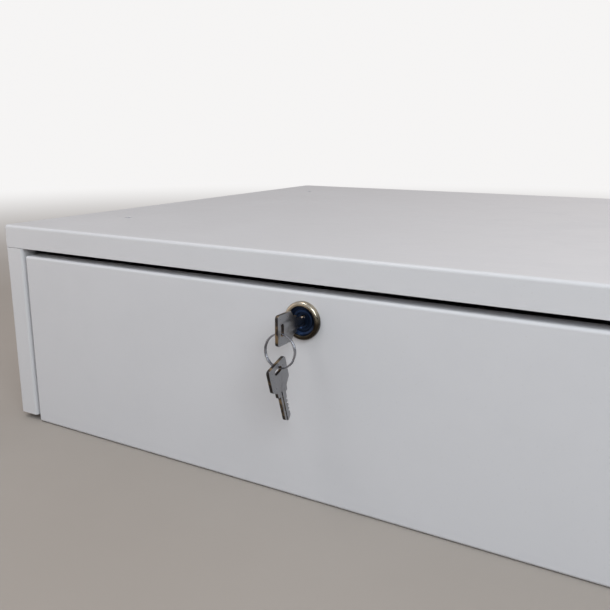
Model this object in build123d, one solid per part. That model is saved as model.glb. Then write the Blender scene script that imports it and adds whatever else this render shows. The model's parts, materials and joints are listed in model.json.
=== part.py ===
"""Lockable steel under desk drawer: folded casing, ball bearing runners, drawer, cam lock and its two keys.

Millimetres; the origin is the centre of the casing's top face, +Z up, +X to the right, the front faces -Y.
"""
from build123d import *

import math
import os

# ---- driving dimensions ----------------------------------------------------------------------------------
WIDTH = 495.0                # casing, side to side
DEPTH = 430.0                # casing, front to back
CASE_BOTTOM = -142.0         # lower edge of the casing's sides
SHEET = 1.2                  # casing sheet
BEND = 0.8                   # inside radius of every fold
LIP_HEIGHT = 16.0            # front lip and skirt of the top panel
LIP_RETURN = 22.0            # depth of the lip's lower return
STRIP_WIDTH = 16.6           # front flange of a side panel
RETURN_DEPTH = 12.0          # depth of that flange's return

FRONT_WIDTH = 456.0          # drawer front
FRONT_TOP = -21.0
FRONT_BOTTOM = -146.0
FRONT_THICKNESS = 12.0
DRAWER_SHEET = 1.0

SCREW_RADIUS = 1.95          # thread of every pan head screw
SCREW_HOLE = 2.0
SCREW_HEAD = 3.8
RIVET_HOLE = 1.6

RUNNER_THICKNESS = 12.7
RUNNER_SHEET = 1.2
RUNNER_BACK = 230.4          # half distance between the faces that the runners are screwed to
RUNNER_HALF_HEIGHT = 17.5
RUNNER_Z = -100.0
RUNNER_GAP = 18.0            # runner's set-back behind the front plane
RUNNER_LENGTH = 400.0
BUFFER_LENGTH = 8.0
BALL_RADIUS = 1.55
CAGE_LENGTH = 90.0
CAGE_START = 165.0
LEVER_SETBACK = 110.0        # release lever's pivot behind the front plane
LEVER_THICKNESS = 2.8
LEVER_GAP = 0.4
BRACKET_SHEET = 1.5

TRAY_TOP = -50.0
TRAY_BOTTOM = -140.0
TRAY_LENGTH = 400.0
EAR_DEPTH = 14.0             # flanges that join the sheets of the drawer and of the casing

MOUNT_SPACING_X = 400.0
MOUNT_SPACING_Y = 280.0
MOUNT_HOLE_RADIUS = 2.75

LOCK_Z = -37.0
BEZEL_RADIUS = 11.0
BEZEL_HEIGHT = 3.0
LOCK_BODY_RADIUS = 9.0
LOCK_BODY_LENGTH = 22.0
PLUG_RADIUS = 6.4
PLUG_SQUARE = 3.2            # half side of the stub that drives the cam
RECESS_DEPTH = 0.8           # plug's face in front of the front plane
NUT_ACROSS_FLATS = 24.0
CAM_REACH = 29.0
CAM_THICKNESS = 2.0

KEY_LENGTH = 38.0
KEY_BOW = 16.5
KEY_THICKNESS = 2.0
KEY_BLADE = 5.6
KEY_CORNER = 1.8
SLOT_FROM_END = 4.4          # slot's centre line from the bow's end
SLOT_HALF = 3.5
WIRE_INSET = 1.3             # ring wire's centre from the end of a key's slot
KEY_OUTER_END = 27.7         # how far the inserted key's bow stands out from the front
RING_RADIUS = 9.2
RING_WIRE = 0.5
RING_TILT = -7.0
SPARE_TILT = 18.0

RUNNING = 0.05               # radial clearance of every running fit

# ---- places worked out from them -------------------------------------------------------------------------
HALF = WIDTH / 2
FRONT = -DEPTH / 2
BACK = DEPTH / 2
TRAY_HALF = RUNNER_BACK - RUNNER_THICKNESS
TRAY_FRONT = FRONT + FRONT_THICKNESS
TRAY_BACK = TRAY_FRONT + TRAY_LENGTH
RUNNER_FRONT = FRONT + RUNNER_GAP
RUNNER_REAR = RUNNER_FRONT + RUNNER_LENGTH
MEMBER_REAR = RUNNER_REAR - BUFFER_LENGTH - 0.3
LEVER_Y = FRONT + LEVER_SETBACK
PLUG_REAR = FRONT + LOCK_BODY_LENGTH + 0.3
KEY_SLOT_Y = FRONT - KEY_OUTER_END + SLOT_FROM_END
RING_TOP = LOCK_Z - SLOT_HALF + WIRE_INSET


# ---- helpers ---------------------------------------------------------------------------------------------
def slab(x0, x1, y0, y1, z0, z1):
    """Plain block between two opposite corners."""
    return Pos((x0 + x1) / 2, (y0 + y1) / 2, (z0 + z1) / 2) * Box(abs(x1 - x0), abs(y1 - y0), abs(z1 - z0))


def rod(radius, start, end):
    """Round bar between two points."""
    way = Vector(*end) - Vector(*start)
    return extrude(Plane(origin=start, z_dir=way) * Circle(radius), way.length)


def folded(path, thickness):
    """Section of a folded sheet: `path` is one face of it and the metal lies to the left of the path.

    Each corner gets the bend radius inside and that radius plus the sheet outside.
    """
    steps = [Vector(*b) - Vector(*a) for a, b in zip(path, path[1:])]
    left = [Vector(-s.Y, s.X).normalized() for s in steps]
    other = [Vector(*path[0]) + left[0] * thickness]
    rounds = []
    for point, before, after, n0, n1 in zip(path[1:-1], steps, steps[1:], left, left[1:]):
        offset = Vector(*point) + (n0 + n1) * (thickness / (1 + n0.dot(n1)))
        turns_left = before.X * after.Y - before.Y * after.X > 0
        near, far = (BEND + thickness, BEND) if turns_left else (BEND, BEND + thickness)
        rounds += [(Vector(*point), near), (offset, far)]
        other.append(offset)
    other.append(Vector(*path[-1]) + left[-1] * thickness)
    section = make_face(Polyline(*[Vector(*p) for p in path], *reversed(other), close=True))
    for corner, radius in rounds:
        section = fillet(section.vertices().sort_by_distance(corner)[0], radius)
    return section


def along_x(section, x0, x1):
    """Extrude a (Y, Z) section from x0 to x1."""
    return extrude(Plane(origin=(x0, 0, 0), x_dir=(0, 1, 0), z_dir=(1, 0, 0)) * section, x1 - x0)


def along_y(section, y0, y1):
    """Extrude an (X, Z) section from y0 to y1."""
    return extrude(Plane(origin=(0, y1, 0), x_dir=(1, 0, 0), z_dir=(0, -1, 0)) * section, y1 - y0)


def along_z(section, z0, z1):
    """Extrude an (X, Y) section from z0 to z1."""
    return extrude(Plane(origin=(0, 0, z0)) * section, z1 - z0)


def mirrored(shape):
    """The same shape on the other side of the drawer."""
    return mirror(shape, about=Plane.YZ)


def joined(shapes):
    """Separate solids kept together in one node."""
    return Compound(children=[solid for shape in shapes for solid in shape.solids()])


# ---- casing ----------------------------------------------------------------------------------------------
def mount_holes():
    """Four holes through the top panel for wood screws into the desk."""
    places = [(sx * MOUNT_SPACING_X / 2, sy * MOUNT_SPACING_Y / 2) for sx in (-1, 1) for sy in (-1, 1)]
    return [rod(MOUNT_HOLE_RADIUS, (x, y, -5), (x, y, 1)) for x, y in places]


def top_panel():
    """Lid with a skirt all round; the front skirt is the lip and returns under and up behind itself."""
    lid = slab(-HALF, HALF, FRONT, BACK, -LIP_HEIGHT, 0)
    rims = lid.edges().group_by(Axis.Z)[-1] + lid.edges().filter_by(Axis.Z)
    lid = fillet(rims, BEND + SHEET)
    lid -= slab(-HALF + SHEET, HALF - SHEET, FRONT + SHEET, BACK - SHEET, -LIP_HEIGHT - 1, -SHEET)
    under = -LIP_HEIGHT
    fold = folded([
        (FRONT, under + 6), (FRONT, under), (FRONT + LIP_RETURN, under), (FRONT + LIP_RETURN, under + 10),
    ], SHEET)
    lid += along_x(fold, -HALF + SHEET, HALF - SHEET)
    for hole in mount_holes():
        lid -= hole
    return lid


def side_panel():
    """Right side: wall, lower flange, inner tab behind the skirt, and the front strip with its return."""
    wall = along_y(folded([
        (HALF - EAR_DEPTH, CASE_BOTTOM), (HALF, CASE_BOTTOM), (HALF, -LIP_HEIGHT - 0.3),
    ], SHEET), FRONT + 8, BACK - SHEET)
    inner = HALF - SHEET
    tab = along_y(folded([
        (inner, -LIP_HEIGHT - 6), (inner, -SHEET), (inner - EAR_DEPTH, -SHEET),
    ], SHEET), FRONT + LIP_RETURN + 1, BACK - 2 * SHEET)
    edge = HALF - STRIP_WIDTH
    strip = along_z(folded([
        (edge, FRONT + RETURN_DEPTH), (edge, FRONT), (HALF, FRONT), (HALF, FRONT + 9),
    ], SHEET), CASE_BOTTOM, -LIP_HEIGHT - 0.3)
    return wall + tab + strip


def back_panel():
    """Rear wall with side and lower flanges, and a tab behind the lid's skirt."""
    edge = HALF - SHEET
    wall = along_z(folded([
        (edge, BACK - 16), (edge, BACK), (-edge, BACK), (-edge, BACK - 16),
    ], SHEET), CASE_BOTTOM + SHEET + BEND, -LIP_HEIGHT - 6.3)
    wall -= slab(-HALF, HALF, BACK - SHEET, BACK + 1, CASE_BOTTOM, 0)
    skin = slab(-HALF, HALF, BACK - SHEET, BACK, CASE_BOTTOM, -LIP_HEIGHT - 0.3)
    tab = slab(-edge + 3, edge - 3, BACK - 2 * SHEET, BACK - SHEET, -LIP_HEIGHT - 6, -SHEET)
    foot = slab(-edge + 20, edge - 20, BACK - 16, BACK - SHEET, CASE_BOTTOM, CASE_BOTTOM + SHEET)
    return wall + skin + tab + foot


def runner_bracket():
    """Right hat-shaped rail between the side wall and the runner."""
    wall = HALF - SHEET
    face = RUNNER_BACK + BRACKET_SHEET
    low, high = RUNNER_Z - 20, RUNNER_Z + 20
    hat = folded([
        (wall, low - 12), (wall, low), (face, low), (face, high), (wall, high), (wall, high + 12),
    ], BRACKET_SHEET)
    bar = along_y(hat, RUNNER_FRONT, BACK - 20)
    for shaft in runner_screws():
        bar -= shaft
    return bar


# ---- runners ---------------------------------------------------------------------------------------------
def runner_x(u):
    """X of a point u from the runner's fixed back, on the right runner."""
    return RUNNER_BACK - u


def channel(web, flange_end, half_height, lip_start, lip_end, lip_inner):
    """(X, Z) section of a runner member: web, two flanges and a small lip on each flange's free edge."""
    low, high = sorted((web, flange_end))
    section = Pos(runner_x((low + high) / 2), RUNNER_Z) * Rectangle(high - low, 2 * half_height)
    sheet = RUNNER_SHEET
    towards = sheet if flange_end > web else -sheet
    cut_a, cut_b = sorted((web + towards, flange_end + towards))
    inside = Rectangle(cut_b - cut_a, 2 * (half_height - sheet))
    section -= Pos(runner_x((cut_a + cut_b) / 2), RUNNER_Z) * inside
    for side in (-1, 1):
        edge = half_height - sheet if lip_inner < half_height else half_height
        middle = (edge + lip_inner) / 2
        lip = Rectangle(abs(lip_end - lip_start), abs(edge - lip_inner) + 0.02)
        section += Pos(runner_x((lip_start + lip_end) / 2), RUNNER_Z + side * middle) * lip
    return section


def screw_places():
    """Distances behind the runner's front end where it is screwed."""
    return (34.0, 200.0, 366.0)


def countersunk(shaft_radius, head_radius, head_height, length, x, y, z):
    """Flat head screw lying along X: head flush at x, shaft pointing to +X."""
    head = [(0, 0), (head_radius, 0), (shaft_radius, head_height)]
    profile = Polyline(*head, (shaft_radius, length), (0, length), close=True)
    turned = revolve(Plane.XZ * make_face(profile), Axis.Z)
    return Pos(x, y, z) * Rot(0, 90, 0) * turned


def runner_screws(extra=RUNNING):
    """Cutters, a running clearance larger than the screws, for the runner and its bracket."""
    return [screw_solid(y, extra) for y in screw_places()]


def screw_solid(y, extra=0.0):
    """One countersunk screw holding the outer member on its bracket."""
    x = RUNNER_BACK - RUNNER_SHEET
    return countersunk(1.9 + extra, 3.4 + extra, RUNNER_SHEET, 6.0, x, RUNNER_FRONT + y, RUNNER_Z)


def outer_member():
    """Fixed member: channel open towards the drawer."""
    bar = along_y(channel(0, 9.5, RUNNER_HALF_HEIGHT, 8.3, 9.5, 15.3), RUNNER_FRONT, RUNNER_REAR)
    for shaft in runner_screws():
        bar -= shaft
    return bar


def middle_member():
    """Middle member: channel that nests in the outer one."""
    return along_y(channel(2.6, 11.4, 13.1, 10.4, 11.4, 11.1), RUNNER_FRONT, MEMBER_REAR)


def inner_member():
    """Drawer member: channel that faces the other way, with the boss that the release lever turns on."""
    bar = along_y(channel(12.7, 5.2, 8.7, 5.2, 6.1, 9.5), RUNNER_FRONT, MEMBER_REAR)
    x = TRAY_HALF + RUNNER_SHEET
    bar += rod(2.0, (x, LEVER_Y, RUNNER_Z), (x + 3.6, LEVER_Y, RUNNER_Z))
    for place in screw_places():
        y = RUNNER_FRONT + place
        bar -= rod(SCREW_HOLE + RUNNING, (TRAY_HALF - 1, y, RUNNER_Z), (x + 1, y, RUNNER_Z))
    return bar


def ball_rows(half_height, u):
    """Centres of one cage's balls: an upper and a lower row."""
    rows = []
    for side in (-1, 1):
        for k in range(6):
            y = FRONT + CAGE_START + 7.5 + k * 15.0
            rows.append((runner_x(u), y, RUNNER_Z + side * half_height))
    return rows


def ball_cage(web, end, half_height, u):
    """Thin strip that keeps two rows of balls apart: web and two punched flanges."""
    thick = 0.6
    height = half_height + thick / 2
    section = Pos(runner_x((web + end) / 2), RUNNER_Z) * Rectangle(end - web, 2 * height)
    hollow = Rectangle(end - web, 2 * (height - thick))
    section -= Pos(runner_x((web + thick + end + thick) / 2), RUNNER_Z) * hollow
    strip = along_y(section, FRONT + CAGE_START, FRONT + CAGE_START + CAGE_LENGTH)
    for x, y, z in ball_rows(half_height, u):
        strip -= rod(BALL_RADIUS + 0.1, (x, y, z - 1), (x, y, z + 1))
    return strip


def balls(half_height, u):
    """The balls of one cage."""
    return joined([Pos(*place) * Sphere(BALL_RADIUS) for place in ball_rows(half_height, u)])


def runner_buffer():
    """Rubber block at the rear end of the outer member that the sliding members close on."""
    x0, x1 = runner_x(RUNNER_SHEET), runner_x(9.5)
    return slab(x0, x1, MEMBER_REAR + 0.3, RUNNER_REAR, RUNNER_Z - 14, RUNNER_Z + 14)


def release_lever():
    """Plastic lever in the drawer member's channel; lifting its tip unlatches the drawer."""
    x0 = TRAY_HALF + RUNNER_SHEET + LEVER_GAP
    x1 = x0 + LEVER_THICKNESS
    body = rod(4.6, (x0, LEVER_Y, RUNNER_Z), (x1, LEVER_Y, RUNNER_Z))
    arm = slab(x0, x1, LEVER_Y - 56, LEVER_Y, RUNNER_Z - 1.8, RUNNER_Z + 1.8)
    pad = slab(x0, x1, LEVER_Y - 66, LEVER_Y - 52, RUNNER_Z - 3.6, RUNNER_Z + 3.6)
    pad = fillet(pad.edges().filter_by(Axis.X), 1.6)
    lever = body + arm + pad
    return lever - rod(2.0 + RUNNING, (x0 - 1, LEVER_Y, RUNNER_Z), (x1 + 1, LEVER_Y, RUNNER_Z))


# ---- drawer ----------------------------------------------------------------------------------------------
def front_outer():
    """Front pan: face and four returns."""
    half = FRONT_WIDTH / 2
    pan = slab(-half, half, FRONT, TRAY_FRONT, FRONT_BOTTOM, FRONT_TOP)
    rims = pan.edges().group_by(Axis.Y)[0] + pan.edges().filter_by(Axis.Y)
    pan = fillet(rims, BEND + DRAWER_SHEET)
    t = DRAWER_SHEET
    pan -= slab(-half + t, half - t, FRONT + t, TRAY_FRONT + 1, FRONT_BOTTOM + t, FRONT_TOP - t)
    return pan - lock_hole()


def front_inner():
    """Closing pan that nests in the front pan, with its flanges turned forward."""
    t = DRAWER_SHEET
    half = FRONT_WIDTH / 2 - t - RUNNING
    low, high = FRONT_BOTTOM + t + RUNNING, FRONT_TOP - t - RUNNING
    pan = slab(-half, half, TRAY_FRONT - 9, TRAY_FRONT, low, high)
    rims = pan.edges().group_by(Axis.Y)[-1] + pan.edges().filter_by(Axis.Y)
    pan = fillet(rims, BEND + t)
    pan -= slab(-half + t, half - t, TRAY_FRONT - 10, TRAY_FRONT - t, low + t, high - t)
    for x, z in front_screw_places():
        pan -= rod(SCREW_HOLE, (x, TRAY_FRONT - 3, z), (x, TRAY_FRONT + 1, z))
    return pan - lock_hole()


def lock_hole():
    """Round hole that the lock's threaded body passes through."""
    return rod(LOCK_BODY_RADIUS + RUNNING, (0, FRONT - 1, LOCK_Z), (0, TRAY_FRONT + 1, LOCK_Z))


def tray():
    """Floor and two sides from one sheet, with turned-in rims and front ears."""
    t = DRAWER_SHEET
    inner = TRAY_HALF - t
    rim = [(TRAY_HALF, TRAY_TOP), (TRAY_HALF - 9, TRAY_TOP), (TRAY_HALF - 9, TRAY_TOP - 6)]
    other_rim = [(-x, z) for x, z in reversed(rim)]
    section = folded([*other_rim, (-TRAY_HALF, TRAY_BOTTOM), (TRAY_HALF, TRAY_BOTTOM), *rim], t)
    body = along_y(section, TRAY_FRONT, TRAY_BACK)
    ear = slab(inner - EAR_DEPTH, inner, TRAY_FRONT, TRAY_FRONT + t, TRAY_BOTTOM + 2, TRAY_TOP - 10)
    body += ear + mirrored(ear)
    body += slab(-inner + 20, inner - 20, TRAY_FRONT, TRAY_FRONT + t, TRAY_BOTTOM + t, TRAY_BOTTOM + 13)
    for x, z in front_screw_places():
        body -= rod(SCREW_HOLE, (x, TRAY_FRONT - 1, z), (x, TRAY_FRONT + 2, z))
    for place in screw_places():
        y = RUNNER_FRONT + place
        hole = rod(SCREW_HOLE, (TRAY_HALF - 3, y, RUNNER_Z), (TRAY_HALF + 1, y, RUNNER_Z))
        body -= hole
        body -= mirrored(hole)
    for x, y, z in rivet_places():
        body -= rod(RIVET_HOLE, (x - math.copysign(3, x), y, z), (x + math.copysign(2, x), y, z))
    return body


def tray_back():
    """Rear wall of the tray: side and top flanges turned forward."""
    t = DRAWER_SHEET
    inner = TRAY_HALF - t
    start = TRAY_BACK - EAR_DEPTH
    path = [(inner, start), (inner, TRAY_BACK), (-inner, TRAY_BACK), (-inner, start)]
    wall = along_z(folded(path, t), TRAY_BOTTOM + t + BEND, TRAY_TOP - 8)
    rim = slab(-inner + 12, inner - 12, TRAY_BACK - 10, TRAY_BACK, TRAY_TOP - 8 - t, TRAY_TOP - 8)
    wall += rim
    for x, y, z in rivet_places():
        wall -= rod(RIVET_HOLE, (x - math.copysign(3, x), y, z), (x + math.copysign(2, x), y, z))
    return wall


def front_screw_places():
    """X and Z of the screws that hold the tray on its front."""
    x = TRAY_HALF - DRAWER_SHEET - 7
    return [(side * x, z) for side in (-1, 1) for z in (-125.0, -68.0)]


def front_screws():
    """Pan head screws from the tray's ears into the front's inner pan."""
    screws = []
    for x, z in front_screw_places():
        ear = TRAY_FRONT + DRAWER_SHEET
        head = rod(SCREW_HEAD, (x, ear, z), (x, ear + 2.4, z))
        head = fillet(head.edges().sort_by(Axis.Y)[-1], 1.2)
        screws.append(head + rod(SCREW_RADIUS, (x, TRAY_FRONT - 6, z), (x, ear + 1, z)))
    return joined(screws)


def rivet_places():
    """Points on the tray's sides where its rear wall is riveted."""
    return [(side * TRAY_HALF, TRAY_BACK - 8, z) for side in (-1, 1) for z in (-130.0, -72.0)]


def tray_rivets():
    """Blind rivets: a domed head outside and a shank through both sheets."""
    rivets = []
    for x, y, z in rivet_places():
        out = math.copysign(1, x)
        head = rod(3.0, (x, y, z), (x + out * 1.0, y, z))
        shank = rod(1.55, (x - out * 4.0, y, z), (x + out * 0.5, y, z))
        rivets.append(head + shank)
    return joined(rivets)


def tray_screws():
    """Pan head screws from inside the tray into the right drawer member."""
    screws = []
    x = TRAY_HALF - DRAWER_SHEET
    for place in screw_places():
        y = RUNNER_FRONT + place
        head = rod(SCREW_HEAD, (x - 2.2, y, RUNNER_Z), (x, y, RUNNER_Z))
        screws.append(head + rod(SCREW_RADIUS, (x - 1, y, RUNNER_Z), (x + 2.6, y, RUNNER_Z)))
    return joined(screws)


# ---- lock ------------------------------------------------------------------------------------------------
def lock_body():
    """Bezel and threaded barrel with the bore that the plug turns in."""
    bezel = rod(BEZEL_RADIUS, (0, FRONT - BEZEL_HEIGHT, LOCK_Z), (0, FRONT, LOCK_Z))
    bezel = fillet(bezel.edges().sort_by(Axis.Y)[0], 1.4)
    face = FRONT - RECESS_DEPTH
    bezel -= rod(8.0, (0, FRONT - BEZEL_HEIGHT - 1, LOCK_Z), (0, face, LOCK_Z))
    barrel = rod(LOCK_BODY_RADIUS, (0, face, LOCK_Z), (0, FRONT + LOCK_BODY_LENGTH, LOCK_Z))
    body = bezel + barrel
    return body - rod(PLUG_RADIUS + RUNNING, (0, FRONT - 5, LOCK_Z), (0, FRONT + 30, LOCK_Z))


def lock_nut():
    """Hexagon nut that clamps the lock behind the front."""
    section = RegularPolygon(NUT_ACROSS_FLATS / math.sqrt(3), 6) - Circle(LOCK_BODY_RADIUS + RUNNING)
    plane = Plane(origin=(0, TRAY_FRONT, LOCK_Z), x_dir=(1, 0, 0), z_dir=(0, 1, 0))
    return extrude(plane * section, 4)


def lock_plug():
    """Plug that the key turns: round, keyway up and down, square stub behind for the cam."""
    s = PLUG_SQUARE
    plug = rod(PLUG_RADIUS, (0, FRONT - RECESS_DEPTH, LOCK_Z), (0, PLUG_REAR, LOCK_Z))
    plug += slab(-s, s, PLUG_REAR - 1, PLUG_REAR + CAM_THICKNESS, LOCK_Z - s, LOCK_Z + s)
    plug -= slab(-1.2, 1.2, FRONT - 2, FRONT + 11.5, LOCK_Z - 3.1, LOCK_Z + 3.1)
    return plug - rod(SCREW_RADIUS, (0, PLUG_REAR - 8, LOCK_Z), (0, PLUG_REAR + 5, LOCK_Z))


def lock_cam():
    """Flat cam, shown unlocked: it points to the left and turns up behind the lip to lock."""
    plane = Plane(origin=(0, PLUG_REAR, LOCK_Z), x_dir=(-1, 0, 0), z_dir=(0, 1, 0))
    outline = Circle(7) + Pos(CAM_REACH / 2, 0) * Rectangle(CAM_REACH, 13.9)
    outline = fillet(outline.vertices().sort_by(Axis.X)[-2:], 3)
    outline -= Rectangle(2 * PLUG_SQUARE + 2 * RUNNING, 2 * PLUG_SQUARE + 2 * RUNNING)
    return extrude(plane * outline, CAM_THICKNESS)


def cam_screw():
    """Screw and washer head that hold the cam on the plug."""
    rear = PLUG_REAR + CAM_THICKNESS
    head = rod(4.6, (0, rear, LOCK_Z), (0, rear + 2.6, LOCK_Z))
    head = fillet(head.edges().sort_by(Axis.Y)[-1], 1.0)
    return head + rod(1.9, (0, rear - 8, LOCK_Z), (0, rear + 1, LOCK_Z))


# ---- keys ------------------------------------------------------------------------------------------------
def key_blank():
    """Flat key: bow with a slot across it, shoulder and notched blade.

    Local frame: the bow's end at the origin, the blade towards +Y, the plate across X.
    """
    half = KEY_BOW / 2 + 0.25
    bow = Pos(KEY_BOW / 2, 0) * RectangleRounded(KEY_BOW, 2 * half, KEY_CORNER)
    tip = KEY_LENGTH
    blade_half = KEY_BLADE / 2
    blade = make_face(Polyline(
        (KEY_BOW - 2, -blade_half), (tip - 2.4, -blade_half), (tip, 0), (tip - 2.4, blade_half),
        (KEY_BOW - 2, blade_half), close=True))
    neck = Pos(KEY_BOW + 1.5, 0) * Rectangle(4, 9)
    outline = bow + neck + blade
    for k, depth in enumerate((0.9, 1.5, 0.7, 1.2)):
        x = KEY_BOW + 8.0 + k * 2.6
        high = blade_half + 1
        notch = Polyline((x - 1.1, high), (x, blade_half - depth), (x + 1.1, high), close=True)
        outline -= make_face(notch)
    outline -= Pos(SLOT_FROM_END, 0) * Rot(0, 0, 90) * SlotOverall(2 * SLOT_HALF, 3.0)
    plane = Plane(origin=(-KEY_THICKNESS / 2, 0, 0), x_dir=(0, 1, 0), z_dir=(1, 0, 0))
    return extrude(plane * outline, KEY_THICKNESS)


def key():
    """Key in the lock."""
    return Pos(0, FRONT - KEY_OUTER_END, LOCK_Z) * key_blank()


def ring_point(drop):
    """Y and Z of the point `drop` below the ring's top, along its tilted plane."""
    tilt = math.radians(RING_TILT)
    return KEY_SLOT_Y + drop * math.sin(tilt), RING_TOP - drop * math.cos(tilt)


def key_ring():
    """Split ring of two turns of wire side by side, through the slots of both keys."""
    y, z = ring_point(RING_RADIUS)
    plane = Plane(origin=(0, y, z), x_dir=(1, 0, 0), z_dir=Vector(0, 1, 0).rotate(Axis.X, RING_TILT))
    turn = Torus(RING_RADIUS, RING_WIRE)
    pair = Pos(0, 0, -RING_WIRE * 0.8) * turn + Pos(0, 0, RING_WIRE * 0.8) * turn
    return plane * pair


def spare_key():
    """Second key, hanging from the ring with its blade down and slightly towards the front."""
    y, z = ring_point(2 * RING_RADIUS)
    turn = Rot(-90 + SPARE_TILT, 0, 0)
    corner = SLOT_HALF - WIRE_INSET
    local = Pos(0, -SLOT_FROM_END, -corner)
    return Pos(0, y, z) * turn * local * key_blank()


# ---- every node ------------------------------------------------------------------------------------------
def pair(name, shape):
    """The right-hand part and its mirror image on the left."""
    return {name + "_right": shape, name + "_left": mirrored(shape)}


def build():
    """Every sub-part by node name."""
    parts = {
        "top_panel": top_panel(),
        "back_panel": back_panel(),
        "front_outer": front_outer(),
        "front_inner": front_inner(),
        "tray": tray(),
        "tray_back": tray_back(),
        "front_screws": front_screws(),
        "tray_rivets": tray_rivets(),
        "lock_body": lock_body(),
        "lock_nut": lock_nut(),
        "lock_plug": lock_plug(),
        "lock_cam": lock_cam(),
        "cam_screw": cam_screw(),
        "key": key(),
        "key_ring": key_ring(),
        "spare_key": spare_key(),
    }
    parts |= pair("side_panel", side_panel())
    parts |= pair("runner_bracket", runner_bracket())
    parts |= pair("runner_outer", outer_member())
    parts |= pair("runner_middle", middle_member())
    parts |= pair("runner_inner", inner_member())
    parts |= pair("cage_outer", ball_cage(1.6, 7.6, 14.7, 5.9))
    parts |= pair("balls_outer", balls(14.7, 5.9))
    parts |= pair("cage_inner", ball_cage(4.2, 10.0, 10.3, 7.9))
    parts |= pair("balls_inner", balls(10.3, 7.9))
    parts |= pair("runner_buffer", runner_buffer())
    parts |= pair("release_lever", release_lever())
    parts |= pair("runner_screws", joined([screw_solid(y) for y in screw_places()]))
    parts |= pair("tray_screws", tray_screws())
    return parts


if __name__ == "__main__":
    os.makedirs("parts", exist_ok=True)
    for name, shape in build().items():
        shape.label = name
        export_step(shape, f"parts/{name}.step")
        print(f"{name}: {len(shape.solids())} solids, {shape.volume:.1f} mm3")
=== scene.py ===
"""Looks of a lockable under desk drawer.

Powder-coated steel casing and drawer, ball bearing runners, cam lock and two keys. Lengths are metres unless a
comment says mm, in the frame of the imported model: the origin is at the centre of the casing's top and the front
faces -Y.
"""

import json
import math

import bmesh
import bpy
import numpy as np
from mathutils import Matrix, Vector


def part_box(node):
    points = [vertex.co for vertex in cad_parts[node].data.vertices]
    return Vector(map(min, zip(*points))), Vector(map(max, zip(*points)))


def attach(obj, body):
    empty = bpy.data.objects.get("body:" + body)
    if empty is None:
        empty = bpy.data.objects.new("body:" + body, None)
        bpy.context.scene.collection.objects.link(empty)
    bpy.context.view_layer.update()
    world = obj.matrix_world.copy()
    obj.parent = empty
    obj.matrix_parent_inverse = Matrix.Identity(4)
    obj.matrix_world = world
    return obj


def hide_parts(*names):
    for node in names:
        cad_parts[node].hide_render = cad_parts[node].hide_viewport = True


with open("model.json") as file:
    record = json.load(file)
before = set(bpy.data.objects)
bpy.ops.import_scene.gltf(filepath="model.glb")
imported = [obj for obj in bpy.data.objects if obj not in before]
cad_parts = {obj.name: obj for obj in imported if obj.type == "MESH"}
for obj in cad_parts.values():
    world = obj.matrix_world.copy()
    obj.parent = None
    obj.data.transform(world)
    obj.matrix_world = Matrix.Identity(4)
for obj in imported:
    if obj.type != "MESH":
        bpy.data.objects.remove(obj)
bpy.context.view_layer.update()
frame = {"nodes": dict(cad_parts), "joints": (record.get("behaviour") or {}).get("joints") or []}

MM = 0.001
JOINTS = {joint["name"]: joint for joint in frame["joints"]}

# ---- places, from the frame --------------------------------------------------------------------------
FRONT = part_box("top_panel")[0].y
CASE_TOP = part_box("top_panel")[1].z
CASE_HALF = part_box("top_panel")[1].x
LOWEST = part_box("front_outer")[0].z
LOCK = Vector(JOINTS["lock_turn"]["pos_m"])
RING_TOP = Vector(JOINTS["ring_swing"]["pos_m"])
RING_BOTTOM = Vector(JOINTS["spare_key_swing"]["pos_m"])
SIDES = {"left": -1, "right": 1}

# Turns a flat plate to lie across X: its own x runs along Y and its own y runs up Z.
ACROSS_X = Matrix(((0, 0, 1, 0), (1, 0, 0, 0), (0, 1, 0, 0), (0, 0, 0, 1)))

MERGE_DISTANCE = 1e-7
RECESS_REACH = 1.5  # mm below the first point of a profile within which a recess changes heights
ALMOST_STRAIGHT = 1.5  # radians, half of the angle at a corner that is too flat to round


# ---- mesh helpers ------------------------------------------------------------------------------------
def mesh_piece(name, points, faces, smooth=True):
    """Object named `name` from an (n, 3) array of points and a list of faces, at the origin."""
    mesh = bpy.data.meshes.new(name)
    mesh.from_pydata(np.asarray(points, float).tolist(), [], faces)
    mesh.validate()
    mesh.shade_smooth() if smooth else mesh.shade_flat()
    piece = bpy.data.objects.new(name, mesh)
    bpy.context.scene.collection.objects.link(piece)
    return piece


def grid_faces(rows, columns, wrap_rows=False):
    """Quads of a grid of points numbered row after row; the last column joins the first."""
    r, c = np.meshgrid(np.arange(rows if wrap_rows else rows - 1), np.arange(columns), indexing="ij")
    r1, c1 = (r + 1) % rows, (c + 1) % columns
    quads = np.stack([r * columns + c, r * columns + c1, r1 * columns + c1, r1 * columns + c], -1)
    return quads.reshape(-1, 4).tolist()


def turned(name, profile, steps, centre, axis, loop=False, radius_change=None, lift=None):
    """Surface of revolution, in mm.

    Profile point (r, h) at angle a is centre + r sin a * X + r cos a * Y + h * axis, with X and Y square to the
    axis. `radius_change(r, h, a)` gives another radius, as for a thread or a hexagon. `lift(r, a)` is added to
    heights near the first point's, as for a recess. A profile that isn't a loop starts and ends on the axis.
    """
    profile = np.asarray(profile, float)
    angle = np.linspace(0, 2 * math.pi, steps, endpoint=False)
    r, a = np.meshgrid(profile[:, 0], angle, indexing="ij")
    h = np.broadcast_to(profile[:, 1:2], r.shape)
    if radius_change is not None:
        r = radius_change(r, h, a)
    if lift is not None:
        h = h + lift(r, a) * (h >= profile[0, 1] - RECESS_REACH)
    local = np.stack([r * np.sin(a), r * np.cos(a), h], -1).reshape(-1, 3) * MM
    points = local @ np.array(square_to(axis)) + np.array(centre)
    return face_outwards(mesh_piece(name, points, grid_faces(len(profile), steps, wrap_rows=loop)))


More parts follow.
